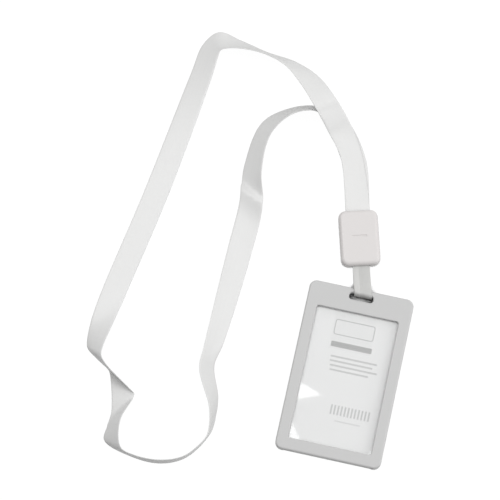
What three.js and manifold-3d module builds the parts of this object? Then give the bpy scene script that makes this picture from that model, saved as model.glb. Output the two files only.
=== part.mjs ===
// A vertical ID card holder on a neck ribbon, lying face up on a table.
// A moulded frame holds a clear pane; a drawer slides out of its back with the card.
// A soft strap loops through the slot of the frame and up into a two-shell clasp,
// which also clamps both ends of a flat satin ribbon.
// Millimetres, +Z up. The origin is the middle of the holder's back, +Y is its head.

import * as THREE from "three";
import { mergeVertices } from "three/addons/utils/BufferGeometryUtils.js";
import Module from "manifold-3d";

const wasm = await Module();
wasm.setup();

// Card, pane and the gaps between the layers
const CARD_WIDTH = 54;
const CARD_HEIGHT = 85.6;
const CARD_THICKNESS = 0.76;
const CARD_CORNER = 3.2;
const PANE_THICKNESS = 0.8;
const LAYER_GAP = 0.2;
const CARD_PLAY = 0.3;

// Frame: rails round the card pocket, lip in front of the pane
const SIDE_RAIL = 5.2;
const FOOT_RAIL = 6.6;
const HEAD_RAIL = 14.2;
const FRONT_LIP = 1.4;
const WINDOW_SIDE_COVER = 1.5;
const WINDOW_END_COVER = 0.8;
const WINDOW_CORNER = 1.5;
const WINDOW_BEVEL = 0.4;
const HOLDER_CORNER = 4.5;
const FRONT_ROUNDING = 1.2;
const BACK_ROUNDING = 0.5;

// Drawer: floor under the card, tongues in the grooves of the frame
const DRAWER_FLOOR = 1.6;
const RETAINER = 0.7;
const TONGUE_REACH = 1.2;
const RUNNING_GAP = 0.25;
const HOOK_SIZE = 3;
const GRIP_LENGTH = 13;
const GRIP_WIDTH = 24;
const GRIP_DEPTH = 0.55;
const GRIP_RIBS = 5;
const GRIP_RIB_WIDTH = 1.1;
const GRIP_HEIGHT_FROM_FOOT = 9;

// Strap slot in the head of the frame, with a relief behind it for the strap
const SLOT_LENGTH = 15;
const SLOT_WIDTH = 4.2;
const SLOT_CORNER = 1.8;
const SLOT_CHAMFER = 0.6;
const SLOT_BAR = 3.1;
const RELIEF_DEPTH = 1.8;
const RELIEF_SIDE = 4.5;
const RELIEF_BELOW_SLOT = 1.6;

// Strap: one soft band round the bar, both ends in the clasp
const STRAP_WIDTH = 10.5;
const STRAP_THICKNESS = 0.65;
const STRAP_LEAN = 15.4;
const STRAP_OFFSET = 1.3;
const STRAP_CLEARANCE = 0.3;
const STRAP_BEND = 1;
const STRAP_REACH = 20.5;
const STRAP_GRIP = 9.5;
const STRAP_HOLE = 3;
const STRAP_HOLE_SPACING = 5.2;

// Clasp: two snapped shells
const CLASP_LENGTH = 35;
const CLASP_DEPTH = 8;
const CLASP_CORNER = 4.4;
const CLASP_ROUNDING = 2.4;
const CLASP_FACE_WALL = 1.6;
const CLASP_SIDE_WALL = 1.7;
const PARTING_GAP = 0.16;
const STACK_GAP = 0.3;
const MOUTH_PLAY = 0.4;
const CLAMP_CLEARANCE = 0.2;
const TOOTH_WIDTH = 0.9;
const TOOTH_PITCH = 2.3;
const TEETH = 3;
const POST_RADIUS = 1.2;
const PIN_RADIUS = 0.8;
const SOCKET_WALL = 0.6;
const SOCKET_CLEARANCE = 0.2;
const PIN_END_DISTANCE = 6.5;
const BADGE_LENGTH = 9.5;
const BADGE_WIDTH = 1.5;
const BADGE_DEPTH = 0.3;
const BADGE_HEIGHT = 0.6;

// Ribbon: a flat band on its hand-laid route
const RIBBON_WIDTH = 15;
const RIBBON_THICKNESS = 0.7;
const RIBBON_STEPS = 4;

// Smoothness of rounded corners, edges and round holes
const CORNER_STEPS = 6;
const EDGE_STEPS = 4;
const ROUND_SIDES = 20;
const PAST = 1;

// Sizes that follow from the ones above
const holderWidth = CARD_WIDTH + 2 * (CARD_PLAY + SIDE_RAIL);
const holderHeight = CARD_HEIGHT + 2 * CARD_PLAY + FOOT_RAIL + HEAD_RAIL;
const cardBottom = DRAWER_FLOOR + LAYER_GAP;
const cardTop = cardBottom + CARD_THICKNESS;
const paneBottom = cardTop + LAYER_GAP;
const paneTop = paneBottom + PANE_THICKNESS;
const lipBottom = paneTop + LAYER_GAP;
const holderDepth = lipBottom + FRONT_LIP;
const holderHead = holderHeight / 2;
const holderFoot = -holderHeight / 2;
const cardCentre = holderFoot + FOOT_RAIL + CARD_PLAY + CARD_HEIGHT / 2;
const pocketWidth = CARD_WIDTH + 2 * CARD_PLAY;
const pocketHead = cardCentre + CARD_HEIGHT / 2 + CARD_PLAY;
const pocketFoot = cardCentre - CARD_HEIGHT / 2 - CARD_PLAY;
const slotCentre = holderHead - SLOT_BAR - SLOT_WIDTH / 2;
const lean = THREE.MathUtils.degToRad(STRAP_LEAN);
const claspMiddle = CLASP_DEPTH / 2;
const claspDistance = STRAP_REACH + CLASP_LENGTH / 2;
const mouthHalf = RIBBON_THICKNESS + STACK_GAP / 2;
const socketRadius = PIN_RADIUS + SOCKET_CLEARANCE + SOCKET_WALL;
const pinSide = RIBBON_WIDTH / 2 + MOUTH_PLAY + socketRadius;
const claspWidth = 2 * (pinSide + PIN_RADIUS + SOCKET_CLEARANCE + CLASP_SIDE_WALL);

// Route of the ribbon's middle line: x, y, z and the angle that its face is turned by.
// 0 lies flat, 90 stands on its left edge, 180 lies flat on its other face.
const RIBBON_ROUTE = [
  [-10.2, 90.8, 4.5, 0],
  [-13.6, 103, 4.5, 0],
  [-24.6, 136.5, 3, 14],
  [-35.5, 151.5, 7, 14],
  [-47, 162.3, 16, 18],
  [-60.3, 175, 14.8, 44],
  [-74.2, 184, 10.2, 74],
  [-91.5, 189.5, 8.2, 104],
  [-109, 192.6, 7.3, 130],
  [-120.2, 192.7, 5.5, 150],
  [-125.2, 186.5, 3.6, 160],
  [-128.5, 167, 1.6, 172],
  [-138, 88, 0.8, 180],
  [-150.1, 3, 3.7, 156],
  [-151.4, -14.3, 5.7, 138],
  [-147.8, -22.4, 7.6, 106],
  [-140.8, -28.2, 8.1, 88],
  [-134, -35.5, 7.3, 62],
  [-129.5, -42.6, 5.1, 32],
  [-130.2, -51.5, 7.1, 60],
  [-129.8, -62, 7.4, 64],
  [-128.9, -70.2, 7, 59],
  [-120, -75.6, 8, 80],
  [-99, -78.2, 8.2, 84],
  [-79.2, -69.2, 8.2, 86],
  [-71.5, -46.5, 8.1, 80],
  [-76.3, -27, 7, 58],
  [-82.8, -11, 6.4, 49],
  [-81.8, 1, 5.6, 41],
  [-80, 20, 3.3, 18],
  [-79.5, 60, 0.8, 0],
  [-78.9, 94, 2.8, -16],
  [-82.4, 114, 5.9, -44],
  [-79.7, 141.4, 7.4, -65],
  [-66, 156.3, 8.2, -92],
  [-51, 161, 8.2, -92],
  [-40.5, 156, 6, -45],
  [-24, 134.5, 0.8, 0],
  [-13.6, 103, 3.5, 0],
  [-10.2, 90.8, 3.5, 0],
];

// Materials
const frameMaterial = new THREE.MeshStandardMaterial({ color: 0xcdcdcc, roughness: 0.45 });
const drawerMaterial = new THREE.MeshStandardMaterial({ color: 0xc6c6c5, roughness: 0.5 });
const paneMaterial = new THREE.MeshStandardMaterial({
  color: 0xf3f5f5,
  roughness: 0.08,
  transparent: true,
  opacity: 0.25,
});
const cardMaterial = new THREE.MeshStandardMaterial({ color: 0xe9e9e7, roughness: 0.4 });
const claspMaterial = new THREE.MeshStandardMaterial({ color: 0xe8e5e2, roughness: 0.42 });
const strapMaterial = new THREE.MeshStandardMaterial({ color: 0xd4d6d1, roughness: 0.3 });
const ribbonMaterial = new THREE.MeshStandardMaterial({ color: 0xf1f1ef, roughness: 0.35 });

// A closed geometry as a solid that can be cut and joined
function toSolid(geometry) {
  const bare = new THREE.BufferGeometry();
  bare.setAttribute("position", geometry.getAttribute("position"));
  bare.setIndex(geometry.getIndex());
  const merged = mergeVertices(bare, 1e-5);
  const mesh = new wasm.Mesh({
    numProp: 3,
    vertProperties: new Float32Array(merged.getAttribute("position").array),
    triVerts: new Uint32Array(merged.getIndex().array),
  });
  return new wasm.Manifold(mesh);
}

function toGeometry(solid) {
  const mesh = solid.getMesh();
  const geometry = new THREE.BufferGeometry();
  geometry.setAttribute("position", new THREE.BufferAttribute(mesh.vertProperties, 3));
  geometry.setIndex(new THREE.BufferAttribute(mesh.triVerts, 1));
  geometry.computeVertexNormals();
  return geometry;
}

function named(name, solid, material) {
  const mesh = new THREE.Mesh(toGeometry(solid), material);
  mesh.name = name;
  return mesh;
}

// One level of a rounded rectangle, drawn in by inset
function levelOutline(outline, inset, z) {
  const halfWidth = outline.width / 2 - inset;
  const halfHeight = outline.height / 2 - inset;
  const radius = Math.max(outline.corner - inset, 0.05);
  const points = [];
  for (let corner = 0; corner < 4; corner += 1) {
    const signX = corner === 0 || corner === 3 ? 1 : -1;
    const signY = corner < 2 ? 1 : -1;
    for (let step = 0; step <= CORNER_STEPS; step += 1) {
      const angle = (Math.PI / 2) * (corner + step / CORNER_STEPS);
      const x = (outline.x ?? 0) + signX * (halfWidth - radius) + radius * Math.cos(angle);
      const y = (outline.y ?? 0) + signY * (halfHeight - radius) + radius * Math.sin(angle);
      points.push([x, y, z]);
    }
  }
  return points;
}

// Closed skin over rings with the same number of points, ends filled by fans
function skin(rings) {
  const count = rings[0].length;
  const positions = rings.flat(2);
  const indices = [];
  for (let level = 0; level + 1 < rings.length; level += 1) {
    for (let i = 0; i < count; i += 1) {
      const a = level * count + i;
      const b = level * count + ((i + 1) % count);
      indices.push(a, b, b + count, a, b + count, a + count);
    }
  }
  const last = (rings.length - 1) * count;
  for (let i = 1; i + 1 < count; i += 1) {
    indices.push(0, i + 1, i);
    indices.push(last, last + i, last + i + 1);
  }
  const geometry = new THREE.BufferGeometry();
  geometry.setAttribute("position", new THREE.Float32BufferAttribute(positions, 3));
  geometry.setIndex(indices);
  return geometry;
}

// Rounded plate through levels of [inset, height]
function plate(outline, levels) {
  return toSolid(skin(levels.map(([inset, z]) => levelOutline(outline, inset, z))));
}

// Quarter round from the flat face at z up or down to the side wall
function rounding(radius, z, direction) {
  const levels = [];
  for (let step = 0; step <= EDGE_STEPS; step += 1) {
    const angle = (Math.PI / 2) * (step / EDGE_STEPS);
    levels.push([radius * (1 - Math.sin(angle)), z + direction * radius * (1 - Math.cos(angle))]);
  }
  return direction > 0 ? levels : levels.reverse();
}

function box(xMin, xMax, yMin, yMax, zMin, zMax) {
  const geometry = new THREE.BoxGeometry(xMax - xMin, yMax - yMin, zMax - zMin);
  geometry.translate((xMin + xMax) / 2, (yMin + yMax) / 2, (zMin + zMax) / 2);
  return toSolid(geometry);
}

function upright(radius, x, y, zMin, zMax) {
  const geometry = new THREE.CylinderGeometry(radius, radius, zMax - zMin, ROUND_SIDES);
  geometry.rotateX(Math.PI / 2);
  geometry.translate(x, y, (zMin + zMax) / 2);
  return toSolid(geometry);
}

function join(solids) {
  return solids.reduce((sum, solid) => sum.add(solid));
}

// Frame: rounded body less window, pocket, drawer grooves, strap slot and strap relief
function frameBody() {
  const outline = { width: holderWidth, height: holderHeight, corner: HOLDER_CORNER };
  return plate(outline, [
    ...rounding(BACK_ROUNDING, 0, 1),
    ...rounding(FRONT_ROUNDING, holderDepth, -1),
  ]);
}

function windowCut() {
  const outline = {
    width: CARD_WIDTH - 2 * WINDOW_SIDE_COVER,
    height: CARD_HEIGHT - 2 * WINDOW_END_COVER,
    corner: WINDOW_CORNER,
    y: cardCentre,
  };
  return plate(outline, [
    [0, lipBottom - PAST],
    [0, holderDepth - WINDOW_BEVEL],
    [-WINDOW_BEVEL - PAST, holderDepth + PAST],
  ]);
}

function pocketCut() {
  const half = pocketWidth / 2;
  const groove = half + TONGUE_REACH;
  const card = box(-half, half, pocketFoot, pocketHead, -PAST, lipBottom);
  const tray = box(-half, half, holderFoot - PAST, pocketHead, -PAST, paneBottom);
  const grooves = box(-groove, groove, holderFoot - PAST, pocketHead, RETAINER, cardBottom);
  return join([card, tray, grooves]);
}

function slotCut() {
  const outline = { width: SLOT_LENGTH, height: SLOT_WIDTH, corner: SLOT_CORNER, y: slotCentre };
  return plate(outline, [
    [-SLOT_CHAMFER / 2 - PAST, RELIEF_DEPTH - PAST],
    [0, RELIEF_DEPTH + SLOT_CHAMFER / 2],
    [0, holderDepth - SLOT_CHAMFER],
    [-SLOT_CHAMFER - PAST, holderDepth + PAST],
  ]);
}

function reliefCut() {
  const foot = slotCentre - SLOT_WIDTH / 2 - RELIEF_BELOW_SLOT;
  const head = holderHead + 2 * PAST + SLOT_CORNER;
  const outline = {
    width: STRAP_WIDTH + 2 * RELIEF_SIDE,
    height: head - foot,
    corner: SLOT_CORNER,
    y: (head + foot) / 2,
  };
  return plate(outline, [
    [0, -PAST],
    [0, RELIEF_DEPTH],
  ]);
}

function frontFrame() {
  return frameBody().subtract(join([windowCut(), pocketCut(), slotCut(), reliefCut()]));
}

function windowPane() {
  const inset = 2 * CARD_PLAY - LAYER_GAP;
  const outline = {
    width: pocketWidth - inset,
    height: pocketHead - pocketFoot - inset,
    corner: WINDOW_CORNER,
    y: cardCentre,
  };
  return plate(outline, [
    [0, paneBottom],
    [0, paneTop],
  ]);
}

function idCard() {
  const outline = { width: CARD_WIDTH, height: CARD_HEIGHT, corner: CARD_CORNER, y: cardCentre };
  return plate(outline, [
    [0, cardBottom],
    [0, cardTop],
  ]);
}

// Drawer: floor with tongues, an end wall that shuts the foot, two hooks at the head
function drawer() {
  const floorHalf = pocketWidth / 2 - RUNNING_GAP;
  const tongueHalf = floorHalf + TONGUE_REACH;
  const foot = holderFoot + RUNNING_GAP;
  const head = pocketHead - CARD_PLAY;
  const wallHead = pocketFoot;
  const tongueBottom = RETAINER + LAYER_GAP;
  const rim = paneBottom - LAYER_GAP;
  const floor = box(-floorHalf, floorHalf, foot, head, 0, DRAWER_FLOOR);
  const tongues = box(-tongueHalf, tongueHalf, foot, head, tongueBottom, DRAWER_FLOOR);
  const wall = box(-floorHalf, floorHalf, foot, wallHead, 0, rim);
  const leftHook = box(-floorHalf, HOOK_SIZE - floorHalf, head - HOOK_SIZE, head, 0, rim);
  const rightHook = box(floorHalf - HOOK_SIZE, floorHalf, head - HOOK_SIZE, head, 0, rim);
  const body = join([floor, tongues, wall, leftHook, rightHook]);
  return body.subtract(join([cardSeat(), drawerGrip()]));
}

// Room for the card: the hooks follow its rounded corners and carry it along
function cardSeat() {
  const outline = { width: CARD_WIDTH, height: CARD_HEIGHT, corner: CARD_CORNER, y: cardCentre };
  return plate(outline, [
    [-LAYER_GAP, DRAWER_FLOOR],
    [-LAYER_GAP, holderDepth],
  ]);
}

// Shallow rounded recess in the back of the drawer with cross ribs for the thumb
function drawerGrip() {
  const centre = holderFoot + GRIP_HEIGHT_FROM_FOOT + GRIP_LENGTH / 2;
  const outline = { width: GRIP_WIDTH, height: GRIP_LENGTH, corner: 3, y: centre };
  const recess = plate(outline, [
    [-PAST, -PAST],
    [0.3, GRIP_DEPTH],
  ]);
  const pitch = GRIP_LENGTH / (GRIP_RIBS + 1);
  const ribs = [];
  for (let rib = 1; rib <= GRIP_RIBS; rib += 1) {
    const y = centre - GRIP_LENGTH / 2 + rib * pitch;
    const half = GRIP_RIB_WIDTH / 2;
    ribs.push(box(-GRIP_WIDTH, GRIP_WIDTH, y - half, y + half, -2 * PAST, GRIP_DEPTH + PAST));
  }
  return recess.subtract(join(ribs));
}

// Strap: side view as a centre line along v (towards the clasp) and z, given its thickness
function strapLine() {
  const over = holderDepth + STRAP_CLEARANCE + STRAP_THICKNESS / 2;
  const under = RELIEF_DEPTH - STRAP_CLEARANCE - STRAP_THICKNESS / 2;
  const layer = (STRAP_THICKNESS + STACK_GAP) / 2;
  const front = claspMiddle + layer;
  const back = claspMiddle - layer;
  const end = STRAP_REACH + STRAP_GRIP;
  const pastBar = (SLOT_BAR + SLOT_WIDTH / 2 + (STRAP_WIDTH / 2) * Math.sin(lean)) / Math.cos(lean);
  const inMouth = STRAP_REACH - 2;
  const middle = (pastBar + inMouth) / 2;
  const line = new THREE.Path();
  line.moveTo(end, front);
  line.lineTo(inMouth, front);
  line.bezierCurveTo(middle, front, middle, over, pastBar, over);
  line.lineTo(STRAP_BEND, over);
  line.absarc(STRAP_BEND, over - STRAP_BEND, STRAP_BEND, Math.PI / 2, Math.PI, false);
  line.lineTo(0, under + STRAP_BEND);
  line.absarc(STRAP_BEND, under + STRAP_BEND, STRAP_BEND, Math.PI, 1.5 * Math.PI, false);
  line.lineTo(pastBar, under);
  line.bezierCurveTo(middle, under, middle, back, inMouth, back);
  line.lineTo(end, back);
  return line.getPoints(CORNER_STEPS);
}

// Closed outline of a bent band from its centre line
function bandOutline(line, thickness) {
  const points = line.filter((point, i) => i === 0 || point.distanceTo(line[i - 1]) > 1e-4);
  const left = [];
  const right = [];
  points.forEach((point, i) => {
    const before = points[Math.max(i - 1, 0)];
    const after = points[Math.min(i + 1, points.length - 1)];
    const along = new THREE.Vector2().subVectors(after, before).normalize();
    const across = new THREE.Vector2(-along.y, along.x).multiplyScalar(thickness / 2);
    left.push(point.clone().add(across));
    right.unshift(point.clone().sub(across));
  });
  return new THREE.Shape([...left, ...right]);
}

function strapLoop() {
  const geometry = new THREE.ExtrudeGeometry(bandOutline(strapLine(), STRAP_THICKNESS), {
    depth: STRAP_WIDTH,
    bevelEnabled: false,
  });
  geometry.translate(0, 0, -STRAP_WIDTH / 2);
  const alongY = new THREE.Vector3(0, 1, 0);
  const alongZ = new THREE.Vector3(0, 0, 1);
  const alongX = new THREE.Vector3(1, 0, 0);
  geometry.applyMatrix4(new THREE.Matrix4().makeBasis(alongY, alongZ, alongX));
  const holes = [-1, 1].map((side) =>
    upright(STRAP_HOLE / 2, (side * STRAP_HOLE_SPACING) / 2, postDistance(), 0, CLASP_DEPTH));
  return toSolid(geometry).subtract(join(holes));
}

// How far up the strap its holes and the posts of the clasp lie, from the slot
function postDistance() {
  return STRAP_REACH + STRAP_GRIP / 2 + CLASP_SIDE_WALL / 2;
}

// Clasp: rounded body, hollow, with a ribbon mouth at the head and a strap mouth at the foot
function claspHollow() {
  const outline = { width: claspWidth, height: CLASP_LENGTH, corner: CLASP_CORNER };
  const body = plate(outline, [
    ...rounding(CLASP_ROUNDING, 0, 1),
    ...rounding(CLASP_ROUNDING, CLASP_DEPTH, -1),
  ]);
  const inner = {
    width: claspWidth - 2 * CLASP_SIDE_WALL,
    height: CLASP_LENGTH - 2 * CLASP_SIDE_WALL,
    corner: CLASP_CORNER - CLASP_SIDE_WALL,
  };
  const cavity = plate(inner, [
    [CLASP_ROUNDING / 2, CLASP_FACE_WALL],
    [0, CLASP_FACE_WALL + CLASP_ROUNDING / 2],
    [0, CLASP_DEPTH - CLASP_FACE_WALL - CLASP_ROUNDING / 2],
    [CLASP_ROUNDING / 2, CLASP_DEPTH - CLASP_FACE_WALL],
  ]);
  const end = CLASP_LENGTH / 2;
  const wall = end - 2 * CLASP_SIDE_WALL;
  const ribbonHalf = RIBBON_WIDTH / 2 + MOUTH_PLAY;
  const strapHalf = STRAP_WIDTH / 2 + MOUTH_PLAY;
  const low = claspMiddle - mouthHalf - CLAMP_CLEARANCE;
  const high = claspMiddle + mouthHalf + CLAMP_CLEARANCE;
  const ribbonMouth = box(-ribbonHalf, ribbonHalf, wall, end + PAST, low, high);
  const strapMouth = box(-strapHalf, strapHalf, -end - PAST, -wall, low, high);
  return body.subtract(join([cavity, ribbonMouth, strapMouth]));
}

function claspHalf(front) {
  const seam = claspMiddle + ((front ? 1 : -1) * PARTING_GAP) / 2;
  const reachX = claspWidth;
  const reachY = CLASP_LENGTH;
  const zMin = front ? seam : -PAST;
  const zMax = front ? CLASP_DEPTH + PAST : seam;
  return claspHollow().intersect(box(-reachX, reachX, -reachY, reachY, zMin, zMax));
}

// Teeth that bite the ribbon, on the front wall or on the back wall
function clampTeeth(front) {
  const half = RIBBON_WIDTH / 2 - 1;
  const bite = mouthHalf + CLAMP_CLEARANCE;
  const stagger = front ? 0 : TOOTH_PITCH / 2;
  const teeth = [];
  for (let tooth = 0; tooth < TEETH; tooth += 1) {
    const y = CLASP_LENGTH / 2 - 2 * CLASP_SIDE_WALL - tooth * TOOTH_PITCH - stagger;
    const zMin = front ? claspMiddle + bite : CLASP_FACE_WALL / 2;
    const zMax = front ? CLASP_DEPTH - CLASP_FACE_WALL / 2 : claspMiddle - bite;
    teeth.push(box(-half, half, y - TOOTH_WIDTH, y, zMin, zMax));
  }
  return join(teeth);
}

// Places of the corner pins and of the posts through the strap's holes
function pinPlaces() {
  const y = CLASP_LENGTH / 2 - PIN_END_DISTANCE;
  return [-1, 1].flatMap((signX) => [-1, 1].map((signY) => [signX * pinSide, signY * y]));
}

function postPlaces() {
  const y = postDistance() - claspDistance;
  return [-1, 1].map((side) => [(side * STRAP_HOLE_SPACING) / 2, y]);
}

// Back shell: carries the pins and the posts
function claspBack() {
  const root = CLASP_FACE_WALL / 2;
  const tip = CLASP_DEPTH - CLASP_FACE_WALL - LAYER_GAP;
  const pins = pinPlaces().map(([x, y]) => upright(PIN_RADIUS, x, y, root, tip));
  const posts = postPlaces().map(([x, y]) => upright(POST_RADIUS, x, y, root, tip));
  return join([claspHalf(false), clampTeeth(false), ...pins, ...posts]);
}

// Front shell: sockets for the pins and the posts, and a plain recessed bar on its face
function claspFront() {
  const root = CLASP_DEPTH - CLASP_FACE_WALL / 2;
  const solids = [claspHalf(true), clampTeeth(true)];
  const bores = [];
  const addSocket = (x, y, radius, tip) => {
    const bore = radius + SOCKET_CLEARANCE;
    solids.push(upright(bore + SOCKET_WALL, x, y, tip, root));
    bores.push(upright(bore, x, y, claspMiddle - PAST, CLASP_DEPTH - CLASP_FACE_WALL));
  };
  const seam = claspMiddle + PARTING_GAP / 2;
  const overStrap = claspMiddle + STRAP_THICKNESS + STACK_GAP / 2 + CLAMP_CLEARANCE;
  pinPlaces().forEach(([x, y]) => addSocket(x, y, PIN_RADIUS, seam));
  postPlaces().forEach(([x, y]) => addSocket(x, y, POST_RADIUS, overStrap));
  const badge = {
    width: BADGE_LENGTH,
    height: BADGE_WIDTH,
    corner: BADGE_WIDTH / 2 - 0.05,
    y: BADGE_HEIGHT,
  };
  bores.push(plate(badge, [
    [0, CLASP_DEPTH - BADGE_DEPTH],
    [0, CLASP_DEPTH + PAST],
  ]));
  return join(solids).subtract(join(bores));
}

// Ribbon: rectangular sections square to a smooth curve through the route
function ribbonSections() {
  const points = RIBBON_ROUTE.map(([x, y, z]) => new THREE.Vector3(x, y, z));
  const curve = new THREE.CatmullRomCurve3(points, false, "centripetal");
  const spans = points.length - 1;
  const sections = [];
  for (let step = 0; step <= spans * RIBBON_STEPS; step += 1) {
    const at = step / (spans * RIBBON_STEPS);
    const centre = curve.getPoint(at);
    const along = curve.getTangent(at);
    const angle = THREE.MathUtils.degToRad(turnAt(at * spans));
    const level = new THREE.Vector3().crossVectors(along, new THREE.Vector3(0, 0, 1)).normalize();
    const rise = new THREE.Vector3().crossVectors(level, along);
    const across = level.clone().multiplyScalar(Math.cos(angle)).addScaledVector(rise, Math.sin(angle));
    const face = rise.clone().multiplyScalar(Math.cos(angle)).addScaledVector(level, -Math.sin(angle));
    sections.push(sectionCorners(centre, across, face));
  }
  return sections;
}

// Turn of the face between two route points, eased at both
function turnAt(place) {
  const first = Math.min(Math.floor(place), RIBBON_ROUTE.length - 2);
  const [from, to] = [RIBBON_ROUTE[first][3], RIBBON_ROUTE[first + 1][3]];
  return THREE.MathUtils.lerp(from, to, place - first);
}

function sectionCorners(centre, across, face) {
  const corners = [[-1, -1], [1, -1], [1, 1], [-1, 1]];
  return corners.map(([side, layer]) => {
    const corner = centre.clone();
    corner.addScaledVector(across, (side * RIBBON_WIDTH) / 2);
    corner.addScaledVector(face, (layer * RIBBON_THICKNESS) / 2);
    return corner.toArray();
  });
}

function lanyardRibbon() {
  return toSolid(skin(ribbonSections().reverse()));
}

// Assembly: the holder is square to the axes; strap and clasp lean on the slot
const holder = new THREE.Group();
holder.add(named("front_frame", frontFrame(), frameMaterial));
holder.add(named("window_pane", windowPane(), paneMaterial));
holder.add(named("id_card", idCard(), cardMaterial));
holder.add(named("drawer", drawer(), drawerMaterial));

const leaning = new THREE.Group();
leaning.position.set(STRAP_OFFSET, slotCentre, 0);
leaning.rotation.z = lean;
leaning.add(named("strap_loop", strapLoop(), strapMaterial));

const clasp = new THREE.Group();
clasp.position.set(0, claspDistance, 0);
clasp.add(named("clasp_front", claspFront(), claspMaterial));
clasp.add(named("clasp_back", claspBack(), claspMaterial));
leaning.add(clasp);

const part = new THREE.Group();
part.add(holder, leaning, named("lanyard_ribbon", lanyardRibbon(), ribbonMaterial));

export default part;
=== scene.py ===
# An upright card holder with a slide-out back, on a soft strap, a two-shell clasp and
# a flat neck ribbon, lying face up on a white table. Metres, +Z up, in the frame of
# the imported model; sizes written in millimetres are turned into metres by MM.

import math

import bmesh
import bpy
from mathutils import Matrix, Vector


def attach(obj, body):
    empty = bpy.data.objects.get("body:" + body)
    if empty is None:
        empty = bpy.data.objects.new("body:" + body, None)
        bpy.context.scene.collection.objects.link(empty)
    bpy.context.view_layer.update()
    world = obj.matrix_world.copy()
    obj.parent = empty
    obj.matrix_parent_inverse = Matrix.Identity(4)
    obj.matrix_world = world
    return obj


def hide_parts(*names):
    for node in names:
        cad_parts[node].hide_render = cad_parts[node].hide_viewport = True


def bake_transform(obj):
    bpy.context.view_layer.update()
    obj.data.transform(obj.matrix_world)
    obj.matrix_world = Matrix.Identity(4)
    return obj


MM = 0.001
WHITE = (1, 1, 1, 1)

# Camera, in millimetres, with the lens for its sensor, and how near and far it sees in metres
CAMERA_PLACE = (3.8, -284.3, 1333.0)
CAMERA_AIM = (-73.3, 64.4, 0.0)
CAMERA_LENS = 160.8
CAMERA_SENSOR = 36
CAMERA_NEAR = 0.01
CAMERA_FAR = 20

# Lamps: place, side of the square in metres, and power in watts
LAMP_AIM = (-0.06, 0.06, 0)
LAMPS = {
    "left_softbox": ((-0.47, 0.38, 1.2), 0.5, 4.2),
    "right_softbox": ((0.5, 0.38, 1.2), 0.5, 2.2),
    "side_fill": ((1.15, -0.05, 0.5), 0.6, 5.5),
}

# Room light: the way that it mostly comes from, its level, contrast and least strength
ROOM_LIGHT_FROM = (0.0, 0.72, 0.69)
ROOM_LEVEL = 0.45
ROOM_CONTRAST = 0.4
ROOM_LEAST = 0.12

# Table: half its width in metres, its squares along a side, what it bounces on to the
# object, its own glow where it is seen and the share of glow in what is seen
TABLE_HALF = 6.0
TABLE_SQUARES = 8
TABLE_BOUNCE = (0.3, 0.3, 0.3, 1)
TABLE_GLOW = 1.04
GLOW_SHARE = 0.94

# Painted crevice shade: the table's glow is painted out, as shade, between these two shares
# of openness. The reach of this painted shade, in metres, is longer round the slot, between the two
# distances from it.
PAINTED_SHADE_SHUT = 0.34
PAINTED_SHADE_OPEN = 0.5
PAINTED_SHADE_SAMPLES = 8
PAINTED_SHADE_REACH = 0.0024
SLOT_SHADE_REACH = 0.009
SLOT_NEAR = 0.010
SLOT_FAR = 0.014

# Slot of the holder, how far strap and clasp lean about it, and where the clasp starts
SLOT_CENTRE = (1.3, 48.3)
STRAP_LEAN = math.radians(15.4)

# Strap, in its own upright plane: v runs from the slot to the clasp, z is height. Its
# size, its heights over and under the bar, and at the clasp the height of its middle and
# how far each layer lies from that.
STRAP_WIDTH = 10.5
STRAP_THICKNESS = 0.65
STRAP_OVER = 5.785
STRAP_UNDER = 1.175
STRAP_MIDDLE = 4.0
STRAP_LAYER = 0.475

# Places along the strap: the slot's wall, clear of the bar, where its two pieces part,
# where its layers come together before the clasp, and its ends
STRAP_PAST_BAR = 7.6
STRAP_PARTING = 13.06
STRAP_IN_MOUTH = 18.5
STRAP_END = 30.0

# Holes of the strap for the clasp's posts: radius, place to the side and along, and how
# deep and how round they are cut
STRAP_HOLE = 1.5
STRAP_HOLE_SIDE = 2.6
STRAP_HOLE_PLACE = 26.1
STRAP_HOLE_DEPTH = 8
STRAP_HOLE_SIDES = 32

# Edge of the strap: how wide its corner is and how far that is cut back
STRAP_CORNER = 0.25
STRAP_CUT_BACK = 0.07

# Grooves of the strap's face: first side, middle, second side and depth
STRAP_GROOVES = [
    (-2.0, -1.7, -1.4, 0.1),
    (-0.7, -0.45, -0.2, 0.08),
]

# Where the strap dips round the bar of the slot, as v and z from its front to its back
STRAP_DIP = [
    (3.2, 5.785),
    (2.6, 5.7),
    (2.1, 5.4),
    (1.7, 4.85),
    (1.35, 4.1),
    (1.1, 3.2),
    (1.0, 2.4),
    (1.2, 1.7),
    (1.7, 1.25),
    (2.4, 1.175),
    (3.4, 1.175),
]

# Steps of the strap between two points of its dip, on its open run and in the clasp, the
# least distance that two of its points keep, and its sharp edges in degrees
DIP_STEPS = 4
OPEN_STEPS = 16
HELD_STEPS = 8
STRAP_LEAST_STEP = 1e-4
STRAP_SHARP = 40

# Ribbon: width and thickness, how wide its woven edge is and how that is rounded
RIBBON_WIDTH = 15.0
RIBBON_THICKNESS = 0.5
RIBBON_EDGE = 0.3
RIBBON_CUT_BACK = 0.08
RIBBON_CUT_SHARE = 0.6

# Ribbon: how near to the table an edge comes and its length, in metres, the steps between
# two rows of its route and the points across its face
RIBBON_LOWEST = 0.00055
RIBBON_STEPS = 10
RIBBON_ACROSS = 13

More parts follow.
